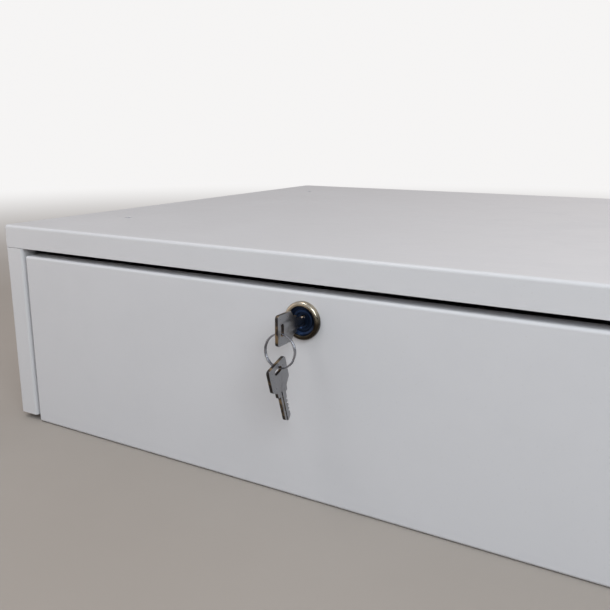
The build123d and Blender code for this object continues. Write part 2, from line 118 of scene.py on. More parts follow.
def square_to(axis):
    """Rows of a frame whose third row is the axis and whose second row is as near +Z as it can be."""
    third = Vector(axis).normalized()
    up = Vector((0, 0, 1)) if abs(third.z) < 0.9 else Vector((0, 1, 0))
    second = (up - third * up.dot(third)).normalized()
    return [list(second.cross(third)), list(second), list(third)]


def rounded(corners, steps=5):
    """Closed outline from (x, y, radius) corners: one with a radius is an arc tangent to both of its sides."""
    points = np.array([c[:2] for c in corners], float)
    outline = []
    for i, corner in enumerate(corners):
        here, radius = points[i], corner[2]
        before, after = points[i - 1] - here, points[(i + 1) % len(points)] - here
        before, after = before / np.linalg.norm(before), after / np.linalg.norm(after)
        half = math.acos(float(np.clip(before @ after, -1, 1))) / 2
        if radius == 0 or half > ALMOST_STRAIGHT:
            outline.append(tuple(here))
            continue
        middle = (before + after) / np.linalg.norm(before + after)
        centre = here + middle * radius / math.sin(half)
        start = here + before * radius / math.tan(half) - centre
        end = here + after * radius / math.tan(half) - centre
        for t in np.linspace(0, 1, steps):
            point = start * (1 - t) + end * t
            outline.append(tuple(centre + point * radius / np.linalg.norm(point)))
    return outline


def rectangle(x0, x1, y0, y1, radius):
    """Corners of a rectangle for `rounded`, all with the same radius."""
    return [(x0, y0, radius), (x1, y0, radius), (x1, y1, radius), (x0, y1, radius)]


def stadium(x, y, half_length, half_width, steps=7):
    """Slot outline: two half circles joined by straight sides, long in y."""
    reach = half_length - half_width
    return arc((x, y + reach), half_width, 0, 180, steps) + arc((x, y - reach), half_width, 180, 360, steps)


def plate(name, outlines, thickness, bevel, place_at):
    """Flat plate with rounded-over edges, moved by a matrix in metres.

    The outlines are in mm: the first is the rim and the rest are holes.
    """
    curve = bpy.data.curves.new(name, "CURVE")
    curve.dimensions, curve.fill_mode = "2D", "BOTH"
    curve.extrude, curve.bevel_depth, curve.offset = thickness / 2 - bevel, bevel, -bevel
    curve.bevel_resolution = 2
    for outline in outlines:
        spline = curve.splines.new("POLY")
        spline.points.add(len(outline) - 1)
        flat = [(x, y, 0, 1) for x, y in outline]
        spline.points.foreach_set("co", np.array(flat, float).ravel())
        spline.use_cyclic_u = True
    holder = bpy.data.objects.new(name + ".outline", curve)
    bpy.context.scene.collection.objects.link(holder)
    bpy.context.view_layer.update()
    mesh = bpy.data.meshes.new_from_object(holder.evaluated_get(bpy.context.evaluated_depsgraph_get()))
    bpy.data.objects.remove(holder)
    mesh.name = name
    mesh.transform(place_at @ Matrix.Scale(MM, 4))
    piece = bpy.data.objects.new(name, mesh)
    bpy.context.scene.collection.objects.link(piece)
    mesh.shade_smooth()
    return crisp(face_outwards(piece))


def carved(piece, *cutters):
    """Cut the cutters out of a piece and remove them."""
    for cutter in cutters:
        cut = piece.modifiers.new("cut", "BOOLEAN")
        cut.operation, cut.solver, cut.object = "DIFFERENCE", "EXACT", cutter
    bpy.context.view_layer.update()
    mesh = bpy.data.meshes.new_from_object(piece.evaluated_get(bpy.context.evaluated_depsgraph_get()))
    mesh.name = piece.name
    piece.modifiers.clear()
    piece.data = mesh
    for cutter in cutters:
        bpy.data.objects.remove(cutter)
    return crisp(piece)


def block(name, low, high):
    """Cutting block between two corners, in mm."""
    (x0, y0, z0), (x1, y1, z1) = low, high
    points = np.array([(x, y, z) for x in (x0, x1) for y in (y0, y1) for z in (z0, z1)]) * MM
    faces = [[0, 1, 3, 2], [4, 6, 7, 5], [0, 4, 5, 1], [2, 3, 7, 6], [0, 2, 6, 4], [1, 5, 7, 3]]
    return face_outwards(mesh_piece(name, points, faces, smooth=False))


def arc(centre, radius, start, end, count):
    """Points at even angles from start to end, in degrees, on a circle."""
    a = np.radians(np.linspace(start, end, count))
    return [(centre[0] + radius * math.cos(v), centre[1] + radius * math.sin(v)) for v in a]


def swept(name, path, section, across):
    """Bar with capped ends: `section` (n, 2) is carried along `path` (m, 3), both in mm.

    A section point (s, t) goes to path + s * side + t * up. `side` is `across` made square to the path, and
    `up` is tangent x side.
    """
    path, section, across = (np.asarray(v, float) for v in (path, section, across))
    tangent = np.gradient(path, axis=0)
    tangent /= np.linalg.norm(tangent, axis=1, keepdims=True)
    side = across - tangent * (tangent @ across)[:, None]
    side /= np.linalg.norm(side, axis=1, keepdims=True)
    up = np.cross(tangent, side)
    points = path[:, None] + section[None, :, :1] * side[:, None]
    points = points + section[None, :, 1:] * up[:, None]
    rows, columns = len(path), len(section)
    faces = grid_faces(rows, columns)
    faces += [list(range(columns))[::-1], list(range((rows - 1) * columns, rows * columns))]
    return crisp(face_outwards(mesh_piece(name, points.reshape(-1, 3) * MM, faces)))


def face_outwards(piece):
    """Merge the doubled points of a closed piece and turn its faces outwards."""
    shape = bmesh.new()
    shape.from_mesh(piece.data)
    bmesh.ops.remove_doubles(shape, verts=shape.verts, dist=MERGE_DISTANCE)
    bmesh.ops.recalc_face_normals(shape, faces=shape.faces)
    shape.to_mesh(piece.data)
    shape.free()
    return piece


def crisp(piece, degrees=35):
    """Smooth shading that breaks at folds sharper than `degrees`."""
    piece.data.set_sharp_from_angle(angle=math.radians(degrees))
    return piece


# ---- shader helpers ----------------------------------------------------------------------------------
def place(tree, kind, inputs=None, **settings):
    """New node of `kind`, with attribute settings and input values or links from other sockets."""
    node = tree.nodes.new(kind)
    for key, value in settings.items():
        setattr(node, key, value)
    for key, value in (inputs or {}).items():
        socket = node.inputs[key]
        if isinstance(value, bpy.types.NodeSocket):
            tree.links.new(value, socket)
        else:
            socket.default_value = value
    return node


def math_node(tree, operation, a, b=0.0):
    """Output socket of one operation on two values or sockets."""
    return place(tree, "ShaderNodeMath", {0: a, 1: b}, operation=operation).outputs[0]


def scaled(tree, value, factor):
    """Output socket of a value times a number."""
    return math_node(tree, "MULTIPLY", value, factor)


def remap(tree, value, low, high, to_low=0.0, to_high=1.0):
    """Smooth step of a value from low..high to to_low..to_high."""
    inputs = {"Value": value, "From Min": low, "From Max": high, "To Min": to_low, "To Max": to_high}
    return place(tree, "ShaderNodeMapRange", inputs, interpolation_type="SMOOTHSTEP").outputs[0]


def noise(tree, vector, scale, detail=3.0, rough=0.5):
    """Grey noise at `scale` waves per metre."""
    inputs = {"Vector": vector, "Scale": scale, "Detail": detail, "Roughness": rough}
    return place(tree, "ShaderNodeTexNoise", inputs).outputs[0]


def mixed(tree, mask, first, second):
    """Colour from first to second as mask goes from 0 to 1."""
    node = place(tree, "ShaderNodeMix", {0: mask}, data_type="RGBA")
    for index, value in ((6, first), (7, second)):
        if isinstance(value, bpy.types.NodeSocket):
            tree.links.new(value, node.inputs[index])
        else:
            node.inputs[index].default_value = (*value[:3], 1)
    return node.outputs[2]


def node_group(name, inputs, outputs):
    """Empty shader group with named sockets: (tree, its input sockets, its output node)."""
    group = bpy.data.node_groups.new(name, "ShaderNodeTree")
    for label, kind, value in inputs:
        socket = group.interface.new_socket(label, in_out="INPUT", socket_type="NodeSocket" + kind)
        if value is not None:
            socket.default_value = value
    for label, kind in outputs:
        group.interface.new_socket(label, in_out="OUTPUT", socket_type="NodeSocket" + kind)
    return group, group.nodes.new("NodeGroupInput").outputs, group.nodes.new("NodeGroupOutput")


def powder_grain_group():
    """Orange peel of a powder coat: low bumps about a millimetre across with a finer grain on them."""
    group, given, out = node_group("powder grain", [
        ("Vector", "Vector", None), ("Peel", "Float", 900.0), ("Height", "Float", 0.00002)],
        [("Normal", "Vector"), ("Fleck", "Float")])
    peel = noise(group, given["Vector"], given["Peel"], 2.0)
    fine = noise(group, given["Vector"], scaled(group, given["Peel"], 3.7), 2.0)
    height = math_node(group, "ADD", peel, scaled(group, fine, 0.35))
    bump = place(group, "ShaderNodeBump", {"Strength": 1.0, "Distance": given["Height"], "Height": height})
    group.links.new(bump.outputs[0], out.inputs["Normal"])
    group.links.new(fine, out.inputs["Fleck"])
    return group


def edge_highlight_and_wear_group():
    """Masks of folds, where a rounded-off normal leaves the true one, and of bare patches on them; the fold mask
    carries painted highlights.
    """
    group, given, out = node_group("edge highlight and wear", [
        ("Vector", "Vector", None), ("Radius", "Float", 0.0012), ("Amount", "Float", 0.5)],
        [("Edge", "Float"), ("Bare", "Float")])
    softened = place(group, "ShaderNodeBevel", {"Radius": given["Radius"]}, samples=4).outputs[0]
    true = place(group, "ShaderNodeNewGeometry").outputs["Normal"]
    inputs = {0: softened, 1: true}
    likeness = place(group, "ShaderNodeVectorMath", inputs, operation="DOT_PRODUCT").outputs["Value"]
    edge = remap(group, likeness, 0.995, 0.80)
    patch = noise(group, given["Vector"], 160.0, 4.0, 0.6)
    limit = math_node(group, "SUBTRACT", 0.86, scaled(group, given["Amount"], 0.4))
    broken = math_node(group, "MULTIPLY", edge, patch)
    worn = remap(group, broken, limit, math_node(group, "ADD", limit, 0.08))
    group.links.new(edge, out.inputs["Edge"])
    group.links.new(worn, out.inputs["Bare"])
    return group


def handling_group():
    """Traces of use: broad cloudy smudges, fine wiping streaks along X and small specks of dust."""
    group, given, out = node_group("handling", [("Vector", "Vector", None)],
                                   [("Smudge", "Float"), ("Streak", "Float"), ("Dust", "Float")])
    cloud = noise(group, given["Vector"], 14.0, 5.0, 0.62)
    inputs = {0: given["Vector"], 1: (12.0, 140.0, 140.0)}
    stretched = place(group, "ShaderNodeVectorMath", inputs, operation="MULTIPLY").outputs[0]
    streak = noise(group, stretched, 3.0, 3.0)
    inputs = {"Vector": given["Vector"], "Scale": 260.0}
    speck = place(group, "ShaderNodeTexVoronoi", inputs).outputs["Distance"]
    group.links.new(remap(group, cloud, 0.42, 0.72), out.inputs["Smudge"])
    group.links.new(remap(group, streak, 0.45, 0.75), out.inputs["Streak"])
    group.links.new(remap(group, speck, 0.16, 0.05), out.inputs["Dust"])
    return group


def brushed_group():
    """Fine parallel scratches: noise squeezed across one direction; height as a normal and a mask."""
    group, given, out = node_group("brushed", [
        ("Vector", "Vector", None), ("Along", "Vector", (20.0, 1.0, 20.0)), ("Depth", "Float", 0.000004)],
        [("Normal", "Vector"), ("Scratch", "Float")])
    inputs = {0: given["Vector"], 1: given["Along"]}
    stretched = place(group, "ShaderNodeVectorMath", inputs, operation="MULTIPLY").outputs[0]
    scratch = noise(group, stretched, 220.0, 4.0, 0.65)
    bump = place(group, "ShaderNodeBump", {"Strength": 1.0, "Distance": given["Depth"], "Height": scratch})
    group.links.new(bump.outputs[0], out.inputs["Normal"])
    group.links.new(scratch, out.inputs["Scratch"])
    return group


def use(tree, group, **inputs):
    """Place a group in a material; keyword names are its input names."""
    node = place(tree, "ShaderNodeGroup", node_tree=group)
    for key, value in inputs.items():
        if isinstance(value, bpy.types.NodeSocket):
            tree.links.new(value, node.inputs[key])
        else:
            node.inputs[key].default_value = value
    return node.outputs


def new_material(name):
    """Material with a Principled shader: (material, tree, shader, object coordinates)."""
    material = bpy.data.materials.new(name)
    material.use_nodes = True
    tree = material.node_tree
    shader = tree.nodes["Principled BSDF"]
    where = place(tree, "ShaderNodeTexCoord").outputs["Object"]
    return material, tree, shader, where


def surface(tree, shader, tone, gloss, normal, metallic=0.0):
    """Link a colour, a roughness and a normal to a Principled shader."""
    for label, value in (("Base Color", tone), ("Roughness", gloss), ("Normal", normal)):
        tree.links.new(value, shader.inputs[label])
    shader.inputs["Metallic"].default_value = metallic


WELD_PITCH, WELD_INSET = 0.060, 0.006
WELD_FLAT, WELD_RIM, WELD_DEPTH = 0.0014, 0.0042, 0.0006
WALL_SKIN = (0.0004, 0.0001)  # how far inside the casing's side the mask of its outer face begins and ends
DUST, PRIMER = (0.42, 0.38, 0.33), (0.33, 0.32, 0.31)
# Cut edge colours of the keys: near-black painted shade, and brass that also stands for a painted gleam
PAINTED_SHADE_EDGE, BRASS_AND_GLEAM_EDGE = (0.05, 0.045, 0.045), (0.30, 0.22, 0.13)
POLISH_DEPTH = 0.000003
GRAIN = powder_grain_group()
# Fold mask for painted highlights, and bare patches of real wear
EDGE_HIGHLIGHT_AND_WEAR = edge_highlight_and_wear_group()
HANDLING = handling_group()
BRUSHED = brushed_group()


def weld_dimples(tree, where):
    """0 to 1: round spot weld marks on the side walls, in a row over each flange of the rail bracket."""
    low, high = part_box("runner_bracket_right")
    middle, row = (low.z + high.z) / 2, (high.z - low.z) / 2 - WELD_INSET
    x, y, z = place(tree, "ShaderNodeSeparateXYZ", {0: where}).outputs
    along = math_node(tree, "PINGPONG", y, WELD_PITCH / 2)
    across = math_node(tree, "ABSOLUTE", math_node(tree, "SUBTRACT", z, middle))
    across = math_node(tree, "SUBTRACT", across, row)
    along_squared = math_node(tree, "POWER", along, 2.0)
    across_squared = math_node(tree, "MULTIPLY", across, across)
    squares = math_node(tree, "ADD", along_squared, across_squared)
    dimple = remap(tree, math_node(tree, "SQRT", squares), WELD_FLAT, WELD_RIM, 1.0, 0.0)
    begin, end = (CASE_HALF - depth for depth in WALL_SKIN)
    wall = remap(tree, math_node(tree, "ABSOLUTE", x), begin, end)
    return math_node(tree, "MULTIPLY", dimple, wall)


def powder_coat(name, colour, roughness, wear, welds=False):
    """Semi-gloss powder coat: peel, smudges in the gloss, a little dust, folds with a painted highlight, rubbed
    folds that show primer.
    """
    material, tree, shader, where = new_material(name)
    grain = use(tree, GRAIN, Vector=where)
    touched = use(tree, HANDLING, Vector=where)
    edge = use(tree, EDGE_HIGHLIGHT_AND_WEAR, Vector=where, Amount=wear)
    tone = mixed(tree, scaled(tree, touched["Smudge"], 0.35), colour, [c * 0.93 for c in colour])
    tone = mixed(tree, scaled(tree, touched["Dust"], 0.10), tone, DUST)
    # Folds made lighter: a painted highlight, partly also the thinner coat on them
    tone = mixed(tree, scaled(tree, edge["Edge"], 0.30), tone, [min(1, c * 1.18) for c in colour])
    tone = mixed(tree, edge["Bare"], tone, PRIMER)
    gloss = math_node(tree, "ADD", roughness, scaled(tree, touched["Smudge"], 0.10))
    gloss = math_node(tree, "ADD", gloss, scaled(tree, touched["Streak"], -0.06))
    gloss = math_node(tree, "ADD", gloss, scaled(tree, grain["Fleck"], 0.06))
    normal = grain["Normal"]
    if welds:
        sunk = scaled(tree, weld_dimples(tree, where), -1.0)
        inputs = {"Strength": 1.0, "Distance": WELD_DEPTH, "Height": sunk, "Normal": normal}
        normal = place(tree, "ShaderNodeBump", inputs).outputs[0]
    surface(tree, shader, tone, gloss, normal)
    shader.inputs["Coat Weight"].default_value = 0.12
    shader.inputs["Coat Roughness"].default_value = 0.25
    return material


def painted_shade_side(tree, where, centre, way, low, high):
    """Mask of a side painted dark as shade: 0 to 1 across a piece from `low` to `high` metres along `way`, broken
    up by noise.
    """
    inputs = {0: where, 1: tuple(centre)}
    offset = place(tree, "ShaderNodeVectorMath", inputs, operation="SUBTRACT").outputs["Vector"]
    inputs = {0: offset, 1: way}
    along = place(tree, "ShaderNodeVectorMath", inputs, operation="DOT_PRODUCT").outputs["Value"]
    uneven = scaled(tree, noise(tree, where, 400.0, 3.0), 0.003)
    return remap(tree, math_node(tree, "ADD", along, uneven), low, high)


def shaded_cut_edges(tree, where):
    """Cut edges of a plate that lies across X: their mask and their colour, near-black painted shade with brass
    patches that also stand for a painted gleam.
    """
    normal = tree.nodes.new("ShaderNodeTexCoord").outputs["Normal"]
    across = place(tree, "ShaderNodeSeparateXYZ", {0: normal}).outputs["X"]
    mask = remap(tree, math_node(tree, "ABSOLUTE", across), 0.35, 0.85, 1.0, 0.0)
    brass_and_gleam = remap(tree, noise(tree, where, 160.0, 3.0), 0.46, 0.62)
    return mask, mixed(tree, brass_and_gleam, PAINTED_SHADE_EDGE, BRASS_AND_GLEAM_EDGE)


def plated(name, colour, dark, roughness, along, painted_shade=None, plate_edges=False):
    """Plated metal: polishing scratches, patchy tarnish, brighter edges that are partly wear and partly painted
    highlight.

    The side painted dark as shade is given by its centre, way, start and end.
    """
    material, tree, shader, where = new_material(name)
    lines = use(tree, BRUSHED, Vector=where, Along=along, Depth=POLISH_DEPTH)
    edge = use(tree, EDGE_HIGHLIGHT_AND_WEAR, Vector=where, Radius=0.0004, Amount=0.6)
    tarnish = remap(tree, noise(tree, where, 120.0, 4.0, 0.6), 0.48, 0.75)
    tone = mixed(tree, tarnish, colour, dark)
    # Edges made brighter: partly worn plating, partly a painted highlight
    tone = mixed(tree, scaled(tree, edge["Edge"], 0.4), tone, [min(1, c * 1.25) for c in colour])
    # Painted shade: one side of the piece darkened as if turned away from the light
    if painted_shade:
        tone = mixed(tree, painted_shade_side(tree, where, *painted_shade), tone, [c * 0.16 for c in dark])
    # Cut edges of a key painted near-black as shade, with brass patches that also stand for a painted gleam
    if plate_edges:
        cut, cut_colour = shaded_cut_edges(tree, where)
        tone = mixed(tree, cut, tone, cut_colour)
    gloss = math_node(tree, "ADD", roughness, scaled(tree, lines["Scratch"], 0.14))
    gloss = math_node(tree, "ADD", gloss, scaled(tree, tarnish, 0.12))
    surface(tree, shader, tone, gloss, lines["Normal"], metallic=1.0)
    return material


def zinc(name, colour, roughness):
    """Bright zinc on rolled steel: faint crystals, rolling lines along Y and small dull spots."""
    material, tree, shader, where = new_material(name)
    lines = use(tree, BRUSHED, Vector=where)
    cell = place(tree, "ShaderNodeTexVoronoi", {"Vector": where, "Scale": 240.0})
    grey = place(tree, "ShaderNodeSeparateColor", {0: cell.outputs["Color"]}).outputs[0]
    spot = remap(tree, noise(tree, where, 60.0, 5.0, 0.6), 0.55, 0.75)
    tone = mixed(tree, scaled(tree, grey, 0.35), colour, [c * 0.82 for c in colour])
    tone = mixed(tree, scaled(tree, spot, 0.5), tone, [c * 0.6 for c in colour])
    gloss = math_node(tree, "ADD", roughness, scaled(tree, grey, 0.12))
    gloss = math_node(tree, "ADD", gloss, scaled(tree, spot, 0.15))
    surface(tree, shader, tone, gloss, lines["Normal"], metallic=1.0)
    return material


def moulded(name, colour, roughness, peel, height):
    """Rubber or moulded plastic: fine spark-eroded grain, greyed by dust and rubbed shinier in patches."""
    material, tree, shader, where = new_material(name)
    grain = use(tree, GRAIN, Vector=where, Peel=peel, Height=height)
    touched = use(tree, HANDLING, Vector=where)
    greyed = [c * 1.8 + 0.01 for c in colour]
    tone = mixed(tree, scaled(tree, touched["Smudge"], 0.5), colour, greyed)
    gloss = math_node(tree, "SUBTRACT", roughness, scaled(tree, touched["Streak"], 0.12))
    surface(tree, shader, tone, gloss, grain["Normal"])
    return material


CASING_PAINT = powder_coat("casing powder coat", (0.605, 0.600, 0.603), 0.38, 0.35, welds=True)
DRAWER_PAINT = powder_coat("drawer powder coat", (0.60, 0.595, 0.60), 0.38, 0.40)
# Painted shade on the bezel's lower right side
BEZEL_PAINTED_SHADE = (LOCK, (0.35, 0.0, -0.94), -0.004, 0.007)
EVEN, LENGTHWISE = (9.0, 9.0, 9.0), (20.0, 2.0, 2.0)  # how fast the scratches change along X, Y and Z
NICKEL = plated("polished nickel", (0.50, 0.44, 0.34), (0.27, 0.22, 0.16), 0.12, EVEN, painted_shade=BEZEL_PAINTED_SHADE)
KEY_STEEL = plated("nickel plated key", (0.34, 0.34, 0.35), (0.20, 0.19, 0.18), 0.22, LENGTHWISE,
                   plate_edges=True)
RING_STEEL = plated("split ring steel", (0.30, 0.30, 0.32), (0.14, 0.14, 0.15), 0.16, EVEN)
# Painted shade: the plug and a ring in the bezel's recess are near-black navy for the shadow inside the lock
PAINTED_SHADE_STEEL = plated("plug steel painted as shade", (0.018, 0.032, 0.070), (0.008, 0.015, 0.034), 0.22, (4.0, 4.0, 4.0))
ZINC = zinc("bright zinc", (0.62, 0.63, 0.64), 0.28)
SCREW_ZINC = zinc("zinc screws", (0.66, 0.66, 0.66), 0.22)
CAGE_STRIP = zinc("cage strip", (0.40, 0.40, 0.41), 0.34)
BALL_STEEL = plated("ball steel", (0.80, 0.80, 0.81), (0.62, 0.62, 0.63), 0.06, (3.0, 3.0, 3.0))
RUBBER = moulded("black rubber", (0.018, 0.018, 0.018), 0.78, 2600.0, 0.00003)
LEVER_PLASTIC = moulded("black lever plastic", (0.022, 0.022, 0.025), 0.46, 3200.0, 0.00002)


# ---- dressing the CAD nodes --------------------------------------------------------------------------
def dress(material, *names):
    """Put a material on every slot of the named CAD nodes."""
    for name in names:
        node = frame["nodes"][name]
        if not node.data.materials:
            node.data.materials.append(material)
        for slot in node.material_slots:
            slot.material = material


def both(name):
    """The left and right nodes of a name."""
    return [f"{name}_{side}" for side in SIDES]


dress(CASING_PAINT, "top_panel", "back_panel", *both("side_panel"))
dress(DRAWER_PAINT, "front_outer", "front_inner", "tray", "tray_back")
dress(ZINC, *both("runner_bracket"))
dress(SCREW_ZINC, "tray_rivets")
dress(CAGE_STRIP, *both("cage_outer"), *both("cage_inner"))
dress(BALL_STEEL, *both("balls_outer"), *both("balls_inner"))


# ---- lock --------------------------------------------------------------------------------------------
def finished(piece, material, body, slot, *nodes):
    """Give a new piece its material and body, and let it stand for CAD nodes; its slot is not used."""
    piece.data.materials.clear()
    piece.data.materials.append(material)
    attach(piece, body)
    if nodes:
        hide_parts(*nodes)
    return piece


def thread(pitch, crest, root, start, end):
    """Radius of a screw thread between two heights: a triangle wave that climbs one pitch a turn."""
    def change(r, h, a):
        wave = 2 * np.abs((h / pitch + a / (2 * math.pi)) % 1.0 - 0.5)
        on_thread = (h > start) & (h < end) & (r > root)
        return np.where(on_thread, root + (crest - root) * np.clip(1.25 * wave - 0.1, 0, 1), r)
    return change


# In mm from the lock's axis and from the drawer front's outer face
THREAD_PITCH, THREAD_CREST, THREAD_ROOT = 1.5, 8.98, 8.45
THREAD_START, THREAD_END = 1.2, 21.2
STUB_HALF, STUB_START = 3.2, 22.31
NUT_FLAT, NUT_FACE = 12.0, 11.5


def lock_barrel():
    """Bezel with a rolled rim and a threaded barrel with an open bore, and a near-black ring in the bezel's
    recess as painted shade.
    """
    rim = arc((9.5, -1.55), 1.5, 0, -90, 9)
    recess = [(9.1, -3.05), (8.7, -2.95), (8.5, -2.7), (8.4, -2.3), (8.4, -0.4), (6.45, -0.4)]
    rear = [(6.45, 21.6), (6.7, 22.0), (8.3, 22.0), (8.6, 21.7)]
    turns = [(THREAD_CREST, y) for y in np.arange(21.5, 0.9, -0.15)]
    profile = [(11.0, 0.0)] + rim + recess + rear + turns + [(THREAD_CREST, 0.0)]
    screwed = thread(THREAD_PITCH, THREAD_CREST, THREAD_ROOT, THREAD_START, THREAD_END)
    piece = turned("lock_barrel", profile, 96, LOCK, (0, 1, 0), loop=True, radius_change=screwed)
    finished(crisp(piece, 50), NICKEL, "drawer", "nickel", "lock_body")
    # A near-black ring in the bezel's recess, painted shade
    ring = [(8.38, -0.42), (8.38, -1.9), (8.2, -2.05), (8.05, -1.95), (7.9, -1.3)]
    ring += [(7.6, -0.95), (6.6, -0.9), (6.46, -0.75), (6.46, -0.42)]
    shade = turned("lock_recess_shade", ring, 72, LOCK, (0, 1, 0), loop=True)
    finished(crisp(shade, 50), PAINTED_SHADE_STEEL, "drawer", "plug_steel")


def plug():
    """Plug: dished face with a raised rim, keyway cut up and down, square stub for the cam behind."""
    def square_stub(r, h, a):
        side = STUB_HALF / np.maximum(np.abs(np.cos(a)), np.abs(np.sin(a)))
        return np.where(h > STUB_START, np.minimum(r, side), r)
    profile = [(0, -0.45), (2.6, -0.5), (4.1, -0.6), (4.5, -1.05), (5.9, -1.1), (6.25, -0.9), (6.38, -0.6)]
    profile += [(6.38, 21.9), (6.0, 22.3), (4.8, 22.3), (4.8, 22.35), (4.8, 24.1), (4.5, 24.3), (0, 24.3)]
    piece = turned("plug", profile, 72, LOCK, (0, 1, 0), radius_change=square_stub)
    y, z = LOCK.y / MM, LOCK.z / MM
    piece = carved(piece, block("keyway", (-1.2, y - 3, z - 3.1), (1.2, y + 11.5, z + 3.1)))
    # The plug is painted near-black as the shadow inside the lock
    finished(piece, PAINTED_SHADE_STEEL, "lock_plug", "plug_steel", "lock_plug")


def nut():
    """Hexagon nut with chamfered corners."""
    def hexagon(r, h, a):
        flat = NUT_FLAT / np.cos((a + math.pi / 6) % (math.pi / 3) - math.pi / 6)
        return np.where(r > NUT_FACE, np.minimum(r, flat), r)
    profile = [(9.06, 0.4), (9.45, 0.0), (11.9, 0.0), (12.6, 0.12), (13.2, 0.4), (13.9, 0.75), (13.9, 3.25)]
    profile += [(13.2, 3.6), (12.6, 3.88), (11.9, 4.0), (9.45, 4.0), (9.06, 3.6)]
    at = Vector((LOCK.x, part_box("lock_nut")[0].y, LOCK.z))
    piece = turned("hexagon_nut", profile, 72, at, (0, 1, 0), loop=True, radius_change=hexagon)
    finished(crisp(piece, 30), SCREW_ZINC, "drawer", "zinc_steel", "lock_nut")


def cam():
    """Flat cam with a hooked tip and a square hole, pointing to the left."""
    arm = [(0, -6.95, 0), (25.5, -6.95, 3.5), (29.0, -3.0, 1.5)]
    arm += [(29.0, 4.5, 2.5), (24.0, 6.95, 3.0), (0, 6.95, 0)]
    outline = arc((0, 0), 7.0, 90, 270, 19) + rounded(arm, 6)
    hole = rounded(rectangle(-3.25, 3.25, -3.25, 3.25, 0.3), 3)
    low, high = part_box("lock_cam")
    middle = Vector((LOCK.x, (low.y + high.y) / 2, LOCK.z))
    turn = Matrix(((-1, 0, 0, 0), (0, 0, 1, 0), (0, 1, 0, 0), (0, 0, 0, 1)))
    piece = plate("cam", [outline, hole], 1.96, 0.18, Matrix.Translation(middle) @ turn)
    finished(piece, ZINC, "lock_plug", "zinc_steel", "lock_cam")


# ---- screws ------------------------------------------------------------------------------------------
def cross_recess(depth, arm, half_width):
    """Height change of a cross-shaped recess: two arms with sloping ends and soft walls."""
    def lift(r, a):
        x, y = np.abs(r * np.sin(a)), np.abs(r * np.cos(a))
        across, along = np.minimum(x, y), np.maximum(x, y)
        inside = np.clip((half_width + 0.08 - across) / 0.16, 0, 1) * np.clip((arm - along) / 0.25, 0, 1)
        return -depth * inside * (1 - 0.45 * along / arm)
    return lift


# In mm
FRONT_SCREW = {"radius": 3.8, "height": 2.35, "shank": 6.9}
CAM_SCREW = {"radius": 4.6, "height": 2.55, "shank": 8.0}
TRAY_SCREW = {"radius": 3.8, "height": 2.15, "shank": 2.5}
FRONT_HEAD, CAM_HEAD, TRAY_HEAD = 2.4, 2.6, 2.2  # from a CAD head's outer face to its seat
RUNNER_SHANK = 6.0

SOLID_REACH = 0.008  # how far a screw's points lie from its middle, at most


def pan_head(name, seat, outward, radius, height, shank):
    """Pan head screw: domed head with a cross recess on its seat, and a shank behind it."""
    rings = np.linspace(0, 0.92 * radius, 22)
    dome = [(r, height * (1 - 0.30 * (r / radius) ** 2.4)) for r in rings]
    edge = [(radius * 0.97, height * 0.62), (radius, height * 0.45), (radius, 0.05), (radius - 0.1, 0.0)]
    body = [(1.95, 0.0), (1.95, -shank + 0.6), (1.4, -shank), (0, -shank)]
    return turned(name, dome + edge + body, 56, seat, outward, lift=cross_recess(1.3, 2.1, 0.42))


def flat_head(name, seat, outward, shank):
    """Countersunk screw: flat head with a cross recess, cone and shank."""
    rings = [(r, 0.0) for r in np.linspace(0, 3.25, 20)]
    body = [(3.4, -0.08), (3.4, -0.12), (1.9, -1.2), (1.9, -shank + 0.5), (1.4, -shank), (0, -shank)]
    return turned(name, rings + body, 56, seat, outward, lift=cross_recess(0.9, 1.9, 0.40))


def joined(name, parts):
    """Several pieces made one object."""
    whole = bmesh.new()
    for part in parts:
        whole.from_mesh(part.data)
        bpy.data.objects.remove(part)
    mesh = bpy.data.meshes.new(name)
    whole.to_mesh(mesh)
    whole.free()
    piece = bpy.data.objects.new(name, mesh)
    bpy.context.scene.collection.objects.link(piece)
    mesh.shade_smooth()
    return crisp(piece, 40)


def solids_of(node):
    """Boxes (lowest, highest corner) of the screws in a CAD node.

    The node's points, sorted along Y, then Z, then X, each join the first group whose mean is within reach.
    """
    mesh = frame["nodes"][node].data
    points = np.zeros(len(mesh.vertices) * 3)
    mesh.vertices.foreach_get("co", points)
    points = points.reshape(-1, 3)
    order = np.lexsort((points[:, 0], points[:, 2], points[:, 1]))
    groups = []
    for point in points[order]:
        near = [g for g in groups if np.linalg.norm(point - np.mean(g, 0)) < SOLID_REACH]
        if near:
            near[0].append(point)
        else:
            groups.append([point])
    return [(Vector(np.min(g, 0)), Vector(np.max(g, 0))) for g in groups]


